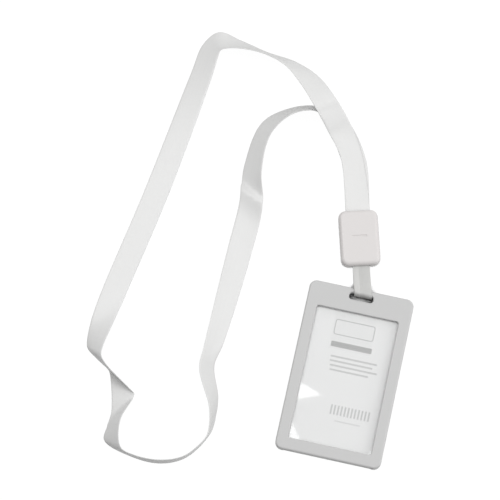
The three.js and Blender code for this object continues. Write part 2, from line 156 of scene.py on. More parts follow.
# Route of the ribbon from the clasp and back to it, in metres: each row is one line
# across the ribbon, with its left edge and its right edge as seen along the way
RIBBON_ROUTE = [
    (-0.0174, 0.0888, 0.0045, -0.003, 0.0928, 0.0045),
    (-0.0208, 0.1009, 0.0045, -0.0064, 0.1051, 0.0045),
    (-0.0307, 0.1327, 0.0072, -0.0183, 0.1393, 0.0019),
    (-0.041, 0.1463, 0.0085, -0.03, 0.1565, 0.0075),
    (-0.052, 0.157, 0.0185, -0.042, 0.168, 0.0155),
    (-0.0644, 0.1708, 0.018, -0.0545, 0.18, 0.0117),
    (-0.077, 0.1816, 0.0165, -0.071, 0.189, 0.005),
    (-0.0926, 0.187, 0.0146, -0.09, 0.1928, 0.001),
    (-0.11, 0.1874, 0.012, -0.108, 0.197, 0.0007),
    (-0.1185, 0.1858, 0.0082, -0.123, 0.199, 0.0024),
    (-0.1192, 0.1844, 0.0076, -0.1312, 0.1898, 0.0007),
    (-0.1207, 0.166, 0.0057, -0.1347, 0.1677, 0.0008),
    (-0.1306, 0.087, 0.0008, -0.1454, 0.089, 0.0008),
    (-0.144, 0.005, 0.0026, -0.1585, 0.0025, 0.0008),
    (-0.1465, -0.017, 0.0123, -0.1577, -0.0153, 0.0006),
    (-0.1458, -0.0232, 0.015, -0.1564, -0.018, 0.0006),
    (-0.142, -0.0277, 0.0153, -0.1492, -0.023, 0.0006),
    (-0.1238, -0.0385, 0.0042, -0.1413, -0.0279, 0.0006),
    (-0.1221, -0.0396, 0.003, -0.1398, -0.0301, 0.0006),
    (-0.1222, -0.0419, 0.0028, -0.1334, -0.053, 0.0006),
    (-0.1258, -0.0594, 0.0124, -0.1338, -0.0623, 0.0006),
    (-0.1214, -0.0752, 0.015, -0.1336, -0.0708, 0.0006),
    (-0.1126, -0.0781, 0.0156, -0.1155, -0.0769, 0.0006),
    (-0.0968, -0.0776, 0.0156, -0.0973, -0.0772, 0.0006),
    (-0.0832, -0.072, 0.0156, -0.083, -0.0704, 0.0006),
    (-0.0734, -0.059, 0.0156, -0.072, -0.053, 0.0006),
    (-0.0726, -0.0547, 0.0153, -0.0711, -0.0403, 0.0006),
    (-0.0752, -0.0404, 0.0143, -0.0723, -0.0298, 0.0006),
    (-0.0866, -0.0175, 0.0113, -0.0787, -0.0116, 0.0006),
    (-0.0871, -0.0018, 0.0084, -0.0763, 0.0028, 0.0006),
    (-0.087, 0.06, 0.0008, -0.072, 0.06, 0.0008),
    (-0.0863, 0.0944, 0.0007, -0.0715, 0.094, 0.0034),
    (-0.0885, 0.1163, 0.0007, -0.0765, 0.1124, 0.0088),
    (-0.0836, 0.1468, 0.0007, -0.0761, 0.1375, 0.0099),
    (-0.0668, 0.1605, 0.0007, -0.0654, 0.1524, 0.0132),
    (-0.0511, 0.1647, 0.0007, -0.051, 0.157, 0.0136),
    (-0.0345, 0.1615, 0.0007, -0.043, 0.1505, 0.006),
    (-0.0159, 0.1386, 0.0006, -0.0293, 0.1316, 0.0006),
    (-0.0064, 0.1051, 0.0035, -0.0208, 0.1009, 0.0035),
    (-0.003, 0.0928, 0.0035, -0.0174, 0.0888, 0.0035),
]

# Creases across the ribbon: place on the route, slant, rise and fall lengths, height
RIBBON_CREASES = [
    (31.15, 0.47, 9.0, 1.7, 1.5),
]

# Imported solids: points nearer than this, in metres, are welded. In degrees, a bend below
# the first angle is flat, one above the second is broken, one above the third stays sharp.
WELD = 2e-6
FLAT_BELOW = 0.6
BROKEN_ABOVE = 38
SHARP_ABOVE = 32

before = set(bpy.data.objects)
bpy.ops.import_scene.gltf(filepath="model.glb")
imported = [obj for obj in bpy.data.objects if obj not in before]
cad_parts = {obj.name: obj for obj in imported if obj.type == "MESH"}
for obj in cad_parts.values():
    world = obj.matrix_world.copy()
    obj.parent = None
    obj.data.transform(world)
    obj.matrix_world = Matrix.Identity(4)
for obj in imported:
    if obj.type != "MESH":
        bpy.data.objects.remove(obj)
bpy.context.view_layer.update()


# Making nodes


def node(tree, kind, inputs=None, **settings):
    """A shader node with its settings, and inputs given as values or as other sockets."""
    made = tree.nodes.new(kind)
    for name, value in settings.items():
        setattr(made, name, value)
    for socket, value in (inputs or {}).items():
        if isinstance(value, bpy.types.NodeSocket):
            tree.links.new(value, made.inputs[socket])
        else:
            made.inputs[socket].default_value = value
    return made


def maths(tree, operation, first, second=0.0, third=0.0, clamp=False):
    """The result of one Math node."""
    inputs = {0: first, 1: second, 2: third}
    return node(tree, "ShaderNodeMath", inputs, operation=operation, use_clamp=clamp).outputs[0]


def vectors(tree, operation, first, second=(0.0, 0.0, 0.0)):
    """The vector that one Vector Math node gives."""
    inputs = {0: first, 1: second}
    return node(tree, "ShaderNodeVectorMath", inputs, operation=operation).outputs[0]


def measured(tree, operation, first, second):
    """The number that one Vector Math node gives for two vectors."""
    inputs = {0: first, 1: second}
    return node(tree, "ShaderNodeVectorMath", inputs, operation=operation).outputs["Value"]


def scaled(tree, vector, amount):
    """A vector or colour times a number."""
    inputs = {0: vector, "Scale": amount}
    return node(tree, "ShaderNodeVectorMath", inputs, operation="SCALE").outputs[0]


def ranged(tree, value, start, finish, at_start, at_finish):
    """A value taken from one range to another, and held at the ends."""
    inputs = {0: value, 1: start, 2: finish, 3: at_start, 4: at_finish}
    return node(tree, "ShaderNodeMapRange", inputs).outputs[0]


def noise(tree, place, scale, detail, roughness):
    """The value of a soft noise."""
    inputs = {"Vector": place, "Scale": scale, "Detail": detail, "Roughness": roughness}
    return node(tree, "ShaderNodeTexNoise", inputs).outputs["Fac"]


def bumped(tree, height, strength, distance):
    """The surface's normal with a height on it, which is distance metres at full strength."""
    inputs = {"Height": height, "Strength": strength, "Distance": distance}
    return node(tree, "ShaderNodeBump", inputs).outputs[0]


def blend_colours(tree, amount, first, second):
    """The colour between two colours at amount."""
    mix = node(tree, "ShaderNodeMix", {0: amount, 6: first, 7: second}, data_type="RGBA")
    return mix.outputs[2]


def blend_surfaces(tree, amount, first, second):
    """The surface between the surfaces of two nodes at amount."""
    return node(tree, "ShaderNodeMixShader", {0: amount, 1: first.outputs[0], 2: second.outputs[0]})


def effect(name, inputs, outputs):
    """An empty node group with named sockets, and the nodes of its two ends."""
    tree = bpy.data.node_groups.new(name, "ShaderNodeTree")
    for socket, (kind, value) in inputs.items():
        made = tree.interface.new_socket(name=socket, in_out="INPUT", socket_type=kind)
        if value is not None:
            made.default_value = value
    for socket, kind in outputs.items():
        tree.interface.new_socket(name=socket, in_out="OUTPUT", socket_type=kind)
    return tree, node(tree, "NodeGroupInput"), node(tree, "NodeGroupOutput")


def give(tree, end, **results):
    """Joins results to the outputs of a group, by name."""
    for name, socket in results.items():
        tree.links.new(socket, end.inputs[name.replace("_", " ").title()])


def use(tree, group, inputs):
    """A placed group with its own values."""
    return node(tree, "ShaderNodeGroup", inputs, node_tree=group)


def bare_material(name):
    """A material with nothing in its tree, and the tree."""
    material = bpy.data.materials.new(name)
    material.use_nodes = True
    material.node_tree.nodes.clear()
    return material, material.node_tree


def new_material(name, **plain):
    """A material with one Principled shader, its plain values set on its own sockets."""
    material, tree = bare_material(name)
    inputs = {socket.replace("_", " "): value for socket, value in plain.items()}
    shader = node(tree, "ShaderNodeBsdfPrincipled", inputs)
    node(tree, "ShaderNodeOutputMaterial", {"Surface": shader.outputs[0]})
    return material, tree, shader


def place_on_piece(tree):
    """Coordinates that stay on the piece, in metres."""
    return node(tree, "ShaderNodeTexCoord").outputs["Object"]


def place_on_band(tree):
    """Coordinates of a strap or ribbon, along it and across it, in millimetres."""
    return node(tree, "ShaderNodeUVMap", uv_map="band").outputs[0]


# Effects that several finishes share

# Moulded skin: scale of its slow drift, and how much the speckle and the drift change the
# tone and the gloss
DRIFT_SCALE = 38.0
SPECKLE_TONE = 0.025
SPECKLE_GLOSS = 0.1
DRIFT_GLOSS = 0.12


def make_moulded_skin():
    """Fine spark grain of a mould, slow tone drift and a gloss that follows both."""
    tree, start, end = effect(
        "moulded_skin",
        {
            "Place": ("NodeSocketVector", None),
            "Grain Size": ("NodeSocketFloat", 0.3),
            "Drift": ("NodeSocketFloat", 0.02),
        },
        {"Tone": "NodeSocketFloat", "Gloss": "NodeSocketFloat", "Height": "NodeSocketFloat"},
    )
    place = start.outputs["Place"]
    grain_scale = maths(tree, "DIVIDE", 1 / MM, start.outputs["Grain Size"])
    grain = noise(tree, place, grain_scale, detail=2.0, roughness=0.55)
    cloud = noise(tree, place, DRIFT_SCALE, detail=3.0, roughness=0.5)
    centred = maths(tree, "SUBTRACT", cloud, 0.5)
    drift = maths(tree, "MULTIPLY_ADD", centred, start.outputs["Drift"], 1.0)
    speckle = maths(tree, "SUBTRACT", grain, 0.5)
    tone = maths(tree, "MULTIPLY_ADD", speckle, SPECKLE_TONE, drift)
    speckle_gloss = maths(tree, "MULTIPLY", speckle, SPECKLE_GLOSS)
    gloss = maths(tree, "MULTIPLY_ADD", centred, DRIFT_GLOSS, speckle_gloss)
    give(tree, end, tone=tone, gloss=gloss, height=grain)
    return tree


# Satin weave: shift of the float from thread to thread, share of it that one weft takes,
# how steeply a float comes up and how soft that is, then the tones, with a painted highlight on the
# thread crowns, and the gloss
FLOAT_SHIFT = 0.4
FLOAT_SHARE = 0.2
FLOAT_RISE = 9.0
FLOAT_SOFTNESS = 0.4
STREAK_STRETCH = 0.03
STREAK_SCALE = 1.3
THREAD_SHARE = 0.25
CROWN_PAINTED_LIGHT = 0.03
STREAK_TONE = 0.05
STREAK_GLOSS = 0.16


def weave_height(tree, along, across, thread):
    """Height of the warp threads, round on top, with a dip where each goes under a weft."""
    shift = maths(tree, "MULTIPLY", thread, FLOAT_SHIFT)
    float_place = maths(tree, "FRACT", maths(tree, "MULTIPLY_ADD", along, FLOAT_SHARE, shift))
    rise = maths(tree, "MULTIPLY", float_place, FLOAT_RISE)
    dip = maths(tree, "SMOOTH_MIN", rise, 1.0, FLOAT_SOFTNESS)
    crown = maths(tree, "SINE", maths(tree, "MULTIPLY", maths(tree, "FRACT", across), math.pi))
    return maths(tree, "MULTIPLY", crown, dip)


def thread_streaks(tree, parts, thread):
    """Faint streaks along the band, partly of whole threads."""
    stretched = maths(tree, "MULTIPLY", parts[0], STREAK_STRETCH)
    streak_place = node(tree, "ShaderNodeCombineXYZ", {0: stretched, 1: parts[1]}).outputs[0]
    streak = noise(tree, streak_place, STREAK_SCALE, detail=3.0, roughness=0.6)
    whole = node(tree, "ShaderNodeTexWhiteNoise", {"W": thread}, noise_dimensions="1D")
    streak_part = maths(tree, "MULTIPLY", streak, 1 - THREAD_SHARE)
    return maths(tree, "MULTIPLY_ADD", whole.outputs["Value"], THREAD_SHARE, streak_part)


def make_satin_weave():
    """Warp threads along a band with long satin floats over the weft, from its own UV."""
    tree, start, end = effect(
        "satin_weave",
        {
            "Band": ("NodeSocketVector", None),
            "Warp Pitch": ("NodeSocketFloat", 0.34),
            "Weft Pitch": ("NodeSocketFloat", 0.42),
        },
        {"Tone": "NodeSocketFloat", "Gloss": "NodeSocketFloat", "Height": "NodeSocketFloat"},
    )
    parts = node(tree, "ShaderNodeSeparateXYZ", {0: start.outputs["Band"]}).outputs
    along = maths(tree, "DIVIDE", parts[0], start.outputs["Weft Pitch"])
    across = maths(tree, "DIVIDE", parts[1], start.outputs["Warp Pitch"])
    thread = maths(tree, "FLOOR", across)
    height = weave_height(tree, along, across, thread)
    streaks = thread_streaks(tree, parts, thread)
    streak_tone = maths(tree, "MULTIPLY_ADD", streaks, STREAK_TONE, 1 - STREAK_TONE)
    # Thread crowns are painted lighter than the dips under the weft: painted light and shade.
    tone = maths(tree, "MULTIPLY_ADD", height, CROWN_PAINTED_LIGHT, streak_tone)
    gloss = maths(tree, "MULTIPLY_ADD", streaks, STREAK_GLOSS, -STREAK_GLOSS / 2)
    give(tree, end, tone=tone, gloss=gloss, height=height)
    return tree


def make_printed_bar():
    """Mask of one printed bar with round ends, in millimetres on the card."""
    tree, start, end = effect(
        "printed_bar",
        {
            "Place": ("NodeSocketVector", None),
            "Centre": ("NodeSocketVector", None),
            "Half Size": ("NodeSocketVector", None),
            "Corner": ("NodeSocketFloat", 0.3),
            "Softness": ("NodeSocketFloat", 0.12),
        },
        {"Mask": "NodeSocketFloat"},
    )
    away = vectors(tree, "SUBTRACT", start.outputs["Place"], start.outputs["Centre"])
    distance = vectors(tree, "ABSOLUTE", away)
    past = vectors(tree, "SUBTRACT", distance, start.outputs["Half Size"])
    corner = start.outputs["Corner"]
    squares = 0.0
    for part in node(tree, "ShaderNodeSeparateXYZ", {0: past}).outputs[:2]:
        side = maths(tree, "MAXIMUM", maths(tree, "ADD", part, corner), 0.0)
        squares = maths(tree, "ADD", maths(tree, "POWER", side, 2.0), squares)
    reach = maths(tree, "SUBTRACT", maths(tree, "SQRT", squares), corner)
    soft = maths(tree, "DIVIDE", reach, start.outputs["Softness"])
    mask = maths(tree, "SUBTRACT", 0.5, soft, clamp=True)
    give(tree, end, mask=mask)
    return tree


def make_sheet_dent():
    """Mask of a three-cornered dent: inside two straight sides that meet at a point."""
    tree, start, end = effect(
        "sheet_dent",
        {
            "Place": ("NodeSocketVector", None),
            "Point": ("NodeSocketVector", None),
            "First Side": ("NodeSocketVector", None),
            "Second Side": ("NodeSocketVector", None),
            "Softness": ("NodeSocketFloat", 2.0),
        },
        {"Mask": "NodeSocketFloat"},
    )
    away = vectors(tree, "SUBTRACT", start.outputs["Place"], start.outputs["Point"])
    first_depth = measured(tree, "DOT_PRODUCT", away, start.outputs["First Side"])
    second_depth = measured(tree, "DOT_PRODUCT", away, start.outputs["Second Side"])
    inside = maths(tree, "MINIMUM", first_depth, second_depth)
    mask = maths(tree, "DIVIDE", inside, start.outputs["Softness"], clamp=True)
    give(tree, end, mask=mask)
    return tree


MOULDED_SKIN = make_moulded_skin()
SATIN_WEAVE = make_satin_weave()
PRINTED_BAR = make_printed_bar()
SHEET_DENT = make_sheet_dent()


# Finishes

# Moulded plastics: colour, roughness, size and strength of the grain, specular level. All
# drift alike in tone and have the same height of grain, in metres.
MOULDED_PLASTICS = {
    "frame_plastic": ((0.535, 0.535, 0.533), 0.42, 0.35, 0.35, 0.4),
    "drawer_plastic": ((0.545, 0.545, 0.543), 0.46, 0.35, 0.4, 0.4),
    "clasp_plastic": ((0.665, 0.641, 0.634), 0.36, 0.4, 0.25, 0.45),
}
MOULDED_DRIFT = 0.03
GRAIN_HEIGHT = 0.00003


def moulded_plastic(name):
    """Satin moulded plastic with the grain of its mould."""
    colour, roughness, grain_size, grain_strength, specular = MOULDED_PLASTICS[name]
    material, tree, shader = new_material(name, Specular_IOR_Level=specular)
    skin = use(
        tree,
        MOULDED_SKIN,
        {"Place": place_on_piece(tree), "Grain Size": grain_size, "Drift": MOULDED_DRIFT},
    )
    toned = scaled(tree, colour, skin.outputs["Tone"])
    rough = maths(tree, "ADD", skin.outputs["Gloss"], roughness)
    normal = bumped(tree, skin.outputs["Height"], grain_strength, GRAIN_HEIGHT)
    tree.links.new(toned, shader.inputs["Base Color"])
    tree.links.new(rough, shader.inputs["Roughness"])
    tree.links.new(normal, shader.inputs["Normal"])
    return material


def let_lamps_through(tree, shader, tint):
    """Clear plastic that passes lamp light to what lies behind it."""
    rays = node(tree, "ShaderNodeLightPath")
    clear = node(tree, "ShaderNodeBsdfTransparent", {"Color": tint})
    passing = maths(tree, "MAXIMUM", rays.outputs["Is Shadow Ray"], rays.outputs["Is Diffuse Ray"])
    mix = blend_surfaces(tree, passing, shader, clear)
    tree.links.new(mix.outputs[0], tree.get_output_node("ALL").inputs["Surface"])


# Clear sheet: its own colour, what it takes from a lamp's light, and its waves, with the
# height of a wave in metres
PANE_COLOUR = (0.97, 0.975, 0.975, 1)
PANE_SHADE = (0.97, 0.97, 0.97, 1)
PANE_WAVE_SCALE = 34.0
PANE_WAVE_HEIGHT = 0.0004

# Dents of the clear sheet in millimetres: point, inward ways of both sides, softness. All
# tilt the sheet the same way.
SHEET_DENTS = [
    ((-6.0, -15.5, 0), (-0.33, -0.94, 0), (-0.41, 0.91, 0), 5.0),
    ((-14.5, -46.0, 0), (-0.78, -0.62, 0), (-0.75, 0.66, 0), 5.0),
    ((27.5, -33.5, 0), (0.86, -0.5, 0), (0.2, -0.98, 0), 4.0),
]
DENT_TILT = (-0.17, 0.07, 0.0)


def dented_normal(tree, place, normal):
    """The sheet's normal, tilted alike in every dent, so that a lamp mirrors there."""
    millimetres = scaled(tree, place, 1 / MM)
    dent = 0.0
    for point, first_side, second_side, softness in SHEET_DENTS:
        values = {
            "Place": millimetres,
            "Point": point,
            "First Side": first_side,
            "Second Side": second_side,
            "Softness": softness,
        }
        made = use(tree, SHEET_DENT, values)
        dent = maths(tree, "MAXIMUM", made.outputs["Mask"], dent)
    tilt = node(
        tree,
        "ShaderNodeVectorTransform",
        {0: DENT_TILT},
        vector_type="VECTOR",
        convert_from="OBJECT",
        convert_to="WORLD",
    ).outputs[0]
    tilted = vectors(tree, "ADD", normal, scaled(tree, tilt, dent))
    return vectors(tree, "NORMALIZE", tilted)


def clear_pane():
    """Thin clear sheet, a little wavy and dented, so that lamps mirror in it in patches."""
    material, tree, shader = new_material(
        "clear_pane",
        Base_Color=PANE_COLOUR,
        Roughness=0.15,
        IOR=1.49,
        Transmission_Weight=1.0,
    )
    place = place_on_piece(tree)
    wave = noise(tree, place, PANE_WAVE_SCALE, detail=1.0, roughness=0.4)
    wavy = bumped(tree, wave, strength=1.0, distance=PANE_WAVE_HEIGHT)
    tree.links.new(dented_normal(tree, place, wavy), shader.inputs["Normal"])
    let_lamps_through(tree, shader, PANE_SHADE)
    return material


# Milky strap: its colour, and the edge of its paler third in millimetres across it, with
# how much paler that is
STRAP_COLOUR = (0.655, 0.655, 0.642)
STRAP_PALE_UP_TO = -2.0
STRAP_PLAIN_FROM = -1.4
STRAP_PALE = 1.1


def soft_strap():
    """Milky soft plastic that lets some light through, paler along one side."""
    material, tree, shader = new_material(
        "milky_strap",
        Roughness=0.45,
        IOR=1.5,
        Transmission_Weight=0.25,
    )
    values = {"Place": place_on_piece(tree), "Grain Size": 0.5, "Drift": 0.05}
    skin = use(tree, MOULDED_SKIN, values)
    toned = scaled(tree, STRAP_COLOUR, skin.outputs["Tone"])
    across = node(tree, "ShaderNodeSeparateXYZ", {0: place_on_band(tree)}).outputs[1]
    pale_edge = ranged(tree, across, STRAP_PALE_UP_TO, STRAP_PLAIN_FROM, STRAP_PALE, 1.0)
    two_toned = scaled(tree, toned, pale_edge)
    normal = bumped(tree, skin.outputs["Height"], strength=0.2, distance=GRAIN_HEIGHT)
    tree.links.new(two_toned, shader.inputs["Base Color"])
    tree.links.new(normal, shader.inputs["Normal"])
    return material


# Satin ribbon: colour, pitch of its threads in millimetres, roughness, height of a thread
# in metres
SATIN_COLOUR = (0.688, 0.688, 0.683)
WARP_PITCH = 0.34
WEFT_PITCH = 0.42
SATIN_ROUGHNESS = 0.42
THREAD_HEIGHT = 0.00005


def woven_satin():
    """White satin ribbon: long warp floats, silky sheen and faint streaks."""
    material, tree, shader = new_material(
        "woven_satin", Specular_IOR_Level=0.8, Anisotropic=0.55, Anisotropic_Rotation=0.25
    )
    values = {"Band": place_on_band(tree), "Warp Pitch": WARP_PITCH, "Weft Pitch": WEFT_PITCH}
    weave = use(tree, SATIN_WEAVE, values)
    toned = scaled(tree, SATIN_COLOUR, weave.outputs["Tone"])
    rough = maths(tree, "ADD", weave.outputs["Gloss"], SATIN_ROUGHNESS)
    normal = bumped(tree, weave.outputs["Height"], strength=0.3, distance=THREAD_HEIGHT)
    warp = node(tree, "ShaderNodeTangent", direction_type="UV_MAP", uv_map="band")
    tree.links.new(toned, shader.inputs["Base Color"])
    tree.links.new(rough, shader.inputs["Roughness"])
    tree.links.new(normal, shader.inputs["Normal"])
    tree.links.new(warp.outputs[0], shader.inputs["Tangent"])
    return material


# Plain print of the card: centre x and y, half width and height, corner, strength
CARD_BARS = [
    (-0.2, 32.0, 12.8, 18.0, 0.3, 0.04),
    (0.4, 17.0, 12.6, 1.7, 0.5, 0.6),
    (3.6, 9.4, 14.4, 0.55, 0.4, 0.36),
    (2.4, 6.6, 13.2, 0.55, 0.4, 0.36),
    (4.4, 3.8, 14.6, 0.55, 0.4, 0.36),
    (2.2, 1.0, 12.0, 0.55, 0.4, 0.36),
    (7.6, -29.6, 8.0, 0.45, 0.4, 0.2),
]
CARD_BOX = (0.2, 27.8, 12.4, 4.9, 1.6, 0.5)
CARD_STRIPES = (8.2, -23.0, 12.4, 3.0, 0.1, 0.38)

# Line of the box, pitch of the stripes and share that is inked, and the least corner of a bar
BOX_LINE = 0.55
STRIPE_PITCH = 2.1
STRIPE_SHARE = 0.5
LEAST_CORNER = 0.05

PAPER_COLOUR = (0.77, 0.77, 0.768)
INK_COLOUR = (0.12, 0.12, 0.12, 1)


def bar_mask(tree, place, bar, grow=0.0):
    """Mask of one bar of the print, grown by grow millimetres."""
    x, y, half_width, half_height, corner, strength = bar
    values = {
        "Place": place,
        "Centre": (x, y, 0.0),
        "Half Size": (half_width + grow, half_height + grow, 0.0),
        "Corner": max(corner + grow, LEAST_CORNER),
    }
    return maths(tree, "MULTIPLY", use(tree, PRINTED_BAR, values).outputs["Mask"], strength)


def card_ink(tree, place):
    """Mask of the whole print, from a place on the card in millimetres."""
    box, inner_box = bar_mask(tree, place, CARD_BOX), bar_mask(tree, place, CARD_BOX, -BOX_LINE)
    ink = maths(tree, "SUBTRACT", box, inner_box, clamp=True)
    for bar in CARD_BARS:
        ink = maths(tree, "MAXIMUM", ink, bar_mask(tree, place, bar))
    x = node(tree, "ShaderNodeSeparateXYZ", {0: place}).outputs[0]
    phase = maths(tree, "FRACT", maths(tree, "DIVIDE", x, STRIPE_PITCH))
    stripe = maths(tree, "LESS_THAN", phase, STRIPE_SHARE)
    stripes = maths(tree, "MULTIPLY", bar_mask(tree, place, CARD_STRIPES), stripe)
    return maths(tree, "MAXIMUM", ink, stripes)


def printed_card():
    """White card with a plain print of bars, an outlined box and even stripes."""
    material, tree, shader = new_material("printed_card", Roughness=0.5)
    metres = place_on_piece(tree)
    ink = card_ink(tree, scaled(tree, metres, 1 / MM))
    skin = use(tree, MOULDED_SKIN, {"Place": metres, "Grain Size": 0.8, "Drift": 0.03})
    paper = scaled(tree, PAPER_COLOUR, skin.outputs["Tone"])
    tree.links.new(blend_colours(tree, ink, paper, INK_COLOUR), shader.inputs["Base Color"])
    return material


# Making pieces


def place_object(name, data):
    """A new object in the scene."""
    made = bpy.data.objects.new(name, data)
    bpy.context.collection.objects.link(made)
    return made


def mesh_of(work, name):
    """The mesh of what has been worked, which is then let go."""
    mesh = bpy.data.meshes.new(name)
    work.to_mesh(mesh)
    work.free()
    return mesh


def new_piece(name, mesh, material):
    """A piece with its finish."""
    piece = place_object(name, mesh)
    mesh.materials.clear()
    mesh.materials.append(material)
    return piece


def settle(piece):
    """Applies what modifiers a piece has."""
    depsgraph = bpy.context.evaluated_depsgraph_get()
    mesh = bpy.data.meshes.new_from_object(piece.evaluated_get(depsgraph))
    piece.modifiers.clear()
    piece.data = mesh


def shade_softly(piece, sharp_above):
    """Smooth shading with crisp edges above an angle in degrees."""
    piece.data.polygons.foreach_set("use_smooth", [True] * len(piece.data.polygons))
    piece.data.set_sharp_from_angle(angle=math.radians(sharp_above))


def whole_flats(name, node_name):
    """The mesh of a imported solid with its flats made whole."""
    work = bmesh.new()
    work.from_mesh(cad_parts[node_name].data)
    bmesh.ops.remove_doubles(work, verts=work.verts, dist=WELD)
    flat = math.radians(FLAT_BELOW)
    bmesh.ops.dissolve_limit(work, angle_limit=flat, verts=work.verts, edges=work.edges)
    return mesh_of(work, name)


def fine_edged(name, node_name, body, material, edge):
    """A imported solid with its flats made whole, its sharp edges broken and its curves smooth."""
    piece = new_piece(name, whole_flats(name, node_name), material)
    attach(piece, body)
    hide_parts(node_name)
    bevel = piece.modifiers.new("broken_edges", "BEVEL")
    bevel.width = edge * MM
    bevel.segments = 2
    bevel.limit_method = "ANGLE"
    bevel.angle_limit = math.radians(BROKEN_ABOVE)
    bevel.use_clamp_overlap = True
    settle(piece)
    shade_softly(piece, SHARP_ABOVE)
    weighted = piece.modifiers.new("flat_faces", "WEIGHTED_NORMAL")
    weighted.keep_sharp = True
    settle(piece)


# Bands: the ribbon and the strap are one cross-section carried along a line


def closed_profile(top, bottom, half, shoulder):
    """Cross-section of a band from its upper and lower face, with both edges rounded alike."""
    right = [shoulder, (half, 0.0), (shoulder[0], -shoulder[1])]
    left = [(-x, -z) for x, z in right]
    return top + right + bottom + left


def band_mesh(name, runs):
    """A mesh of runs, each with its rings of points, places along and across, and closed ends."""
    work = bmesh.new()
    band = work.loops.layers.uv.new("band")
    for points, along, across, ends in runs:
        rings = [[work.verts.new(point) for point in ring] for ring in points]
        for i in range(len(rings) - 1):
            for j in range(len(across)):
                k = (j + 1) % len(across)
                corners = [(i, j), (i + 1, j), (i + 1, k), (i, k)]
                quad = work.faces.new([rings[row][column] for row, column in corners])
                for loop, (row, column) in zip(quad.loops, corners):
                    loop[band].uv = (along[row], across[column])
        for end in ends:
            work.faces.new(rings[end])
    bmesh.ops.recalc_face_normals(work, faces=work.faces)
    return mesh_of(work, name)


def curve_at(knots, place):
    """A point of the centripetal curve through knots, at a place counted in knots."""
    last = len(knots) - 1
    span = min(int(place), last - 1)
    before = knots[span - 1] if span else 2 * knots[0] - knots[1]
    after = knots[span + 2] if span + 2 <= last else 2 * knots[last] - knots[last - 1]
    points = [before, knots[span], knots[span + 1], after]
    gaps = [math.sqrt((points[i + 1] - points[i]).length) for i in range(3)]
    return ease_between(points, gaps, place - span)


def ease_between(points, gaps, rest):
    """Cubic between the two middle points with the slopes that the outer ones give."""
    first, second, third, fourth = points
    near, middle, far = gaps
    straight = (third - second) / middle
    out_slope = (second - first) / near - (third - first) / (near + middle) + straight
    in_slope = straight - (fourth - second) / (middle + far) + (fourth - third) / far
    square, cube = rest * rest, rest**3
    point = (2 * cube - 3 * square + 1) * second + (3 * square - 2 * cube) * third
    point += (cube - 2 * square + rest) * middle * out_slope
    point += (cube - square) * middle * in_slope
    return point


# Ribbon


def ribbon_edge(first_column):
    """Every step along one edge of the ribbon, kept above the table."""
    knots = [Vector(row[first_column : first_column + 3]) for row in RIBBON_ROUTE]
    steps = (len(knots) - 1) * RIBBON_STEPS
    edge = [curve_at(knots, step / RIBBON_STEPS) for step in range(steps + 1)]
    for point in edge:
        point.z = max(point.z, RIBBON_LOWEST)
    return edge


def ribbon_stations():
    """Every station of the ribbon: distance, middle, the way across it and its face normal."""
    left, right = ribbon_edge(0), ribbon_edge(3)
    middles = [(start + end) / 2 for start, end in zip(left, right)]
    last = len(middles) - 1
    stations = []
    distance = 0.0
    for i, middle in enumerate(middles):
        distance += (middle - middles[max(i - 1, 0)]).length
        along = middles[min(i + 1, last)] - middles[max(i - 1, 0)]
        across = right[i] - left[i]
        stations.append((distance, middle, across, across.cross(along).normalized()))
    return stations


def ribbon_profile():
    """Cross-section of the ribbon in millimetres, round at its woven edges."""
    half = RIBBON_WIDTH / 2
    thick = RIBBON_THICKNESS / 2
    flat_half = half - RIBBON_EDGE
    flat = [flat_half * (2 * i / (RIBBON_ACROSS - 1) - 1) for i in range(RIBBON_ACROSS)]
    top = [(x, thick) for x in flat]
    bottom = [(x, -thick) for x in reversed(flat)]
    return closed_profile(top, bottom, half, (half - RIBBON_CUT_BACK, thick * RIBBON_CUT_SHARE))


def crease_lift(distance, across, creases):
    """How far the creases lift the ribbon at a distance along it, in millimetres."""
    lift = 0.0
    for at, slant, rise, fall, height in creases:
        past = distance - at + slant * across
        reach = fall if past > 0 else rise
        lift += height * math.exp(-((past / reach) ** 2))
    return lift


def ribbon_rings(stations, profile):
    """The ribbon's cross-section at every station, lifted by the creases."""
    creases = [
        (stations[round(place * RIBBON_STEPS)][0] / MM, *shape) for place, *shape in RIBBON_CREASES
    ]
    rings = []
    for distance, middle, across, face in stations:
        ring = []
        for side, layer in profile:
            lift = crease_lift(distance / MM, side, creases)
            ring.append(middle + across * (side / RIBBON_WIDTH) + face * (layer + lift) * MM)
        rings.append(ring)
    return rings


def make_ribbon():
    """The ribbon as one band from clamp to clamp."""
    stations = ribbon_stations()
    profile = ribbon_profile()
    along = [station[0] / MM for station in stations]
    across = [side for side, layer in profile]
    mesh = band_mesh("neck_ribbon", [(ribbon_rings(stations, profile), along, across, (0, -1))])
    mesh.polygons.foreach_set("use_smooth", [True] * len(mesh.polygons))
    ribbon = new_piece("neck_ribbon", mesh, woven_satin())
    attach(ribbon, "lanyard")
    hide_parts("lanyard_ribbon")


# Strap


def eased(share):
    """A share from 0 to 1 that starts and stops gently."""
    return share * share * (3 - 2 * share)


def skew(across, v):
    """How far the cross line at v swings so that the strap folds along the bar's edge."""
    near_bar = min(max((STRAP_IN_MOUTH - v) / (STRAP_IN_MOUTH - STRAP_PAST_BAR), 0), 1)
    return -across * math.tan(STRAP_LEAN) * eased(near_bar)


def dip_points():
    """The dip round the bar as a smooth curve, stepped between its points."""
    knots = [Vector(point) for point in STRAP_DIP]
    steps = DIP_STEPS * (len(knots) - 1)
    return [tuple(curve_at(knots, step / DIP_STEPS)) for step in range(steps + 1)]


def slope(start, finish, steps):
    """Points on an S curve that is level at both ends."""
    points = []
    for step in range(steps + 1):
        share = step / steps
        v = start[0] + (finish[0] - start[0]) * share
        points.append((v, start[1] + (finish[1] - start[1]) * eased(share)))
    return points


